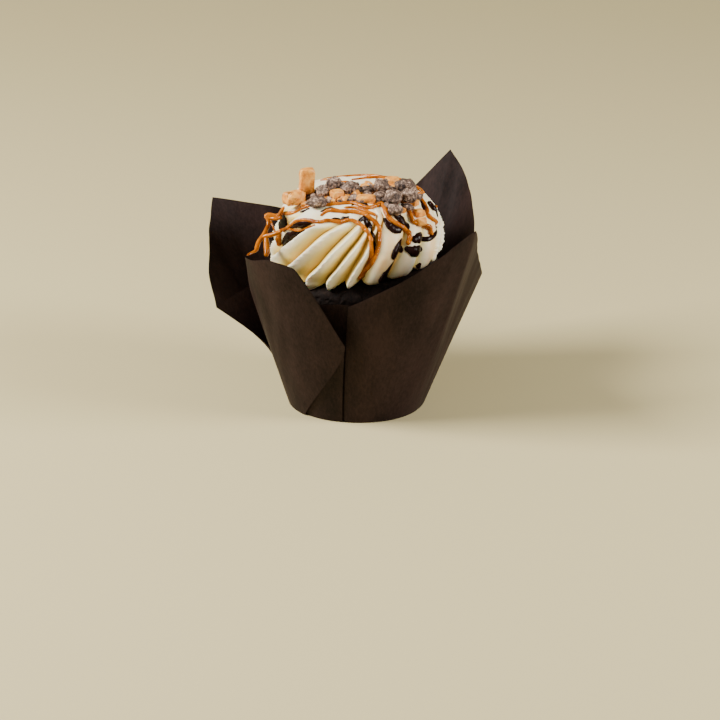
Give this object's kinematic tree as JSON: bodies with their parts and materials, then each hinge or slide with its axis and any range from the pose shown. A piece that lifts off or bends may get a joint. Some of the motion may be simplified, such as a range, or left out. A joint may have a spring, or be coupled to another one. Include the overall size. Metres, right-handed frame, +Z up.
{
  "type": "cupcake",
  "caption": "Chocolate cupcake in a dark folded tulip paper case, with a tall piped cream swirl, caramel and chocolate drizzle, and toffee and chocolate chunks on top.",
  "frame": {"origin": "centre of the paper case's round flat base, on the surface that the cupcake stands on", "axes": "+Z up, -Y towards the open front pleat of the case, +X to the right of someone facing that pleat"},
  "size_m": [0.1074, 0.0995, 0.101],
  "materials": {
    "paper": "matte",
    "cake": "matte",
    "frosting": "satin",
    "caramel": "gloss",
    "chocolate_sauce": "gloss",
    "toffee": "satin",
    "chocolate": "matte"
  },
  "bodies": {
    "root": {"paper_case": "paper", "cake": "cake", "frosting": "frosting", "toffee_tall": "toffee", "toffee_wide": "toffee", "toffee_mid": "toffee", "toffee_flat": "toffee", "toffee_back": "toffee", "choc_left": "chocolate", "choc_hollow": "chocolate", "choc_peak": "chocolate", "choc_centre": "chocolate", "choc_rise": "chocolate", "choc_ridge": "chocolate", "choc_front": "chocolate", "choc_edge": "chocolate", "choc_low": "chocolate"}
  },
  "joints": []
}
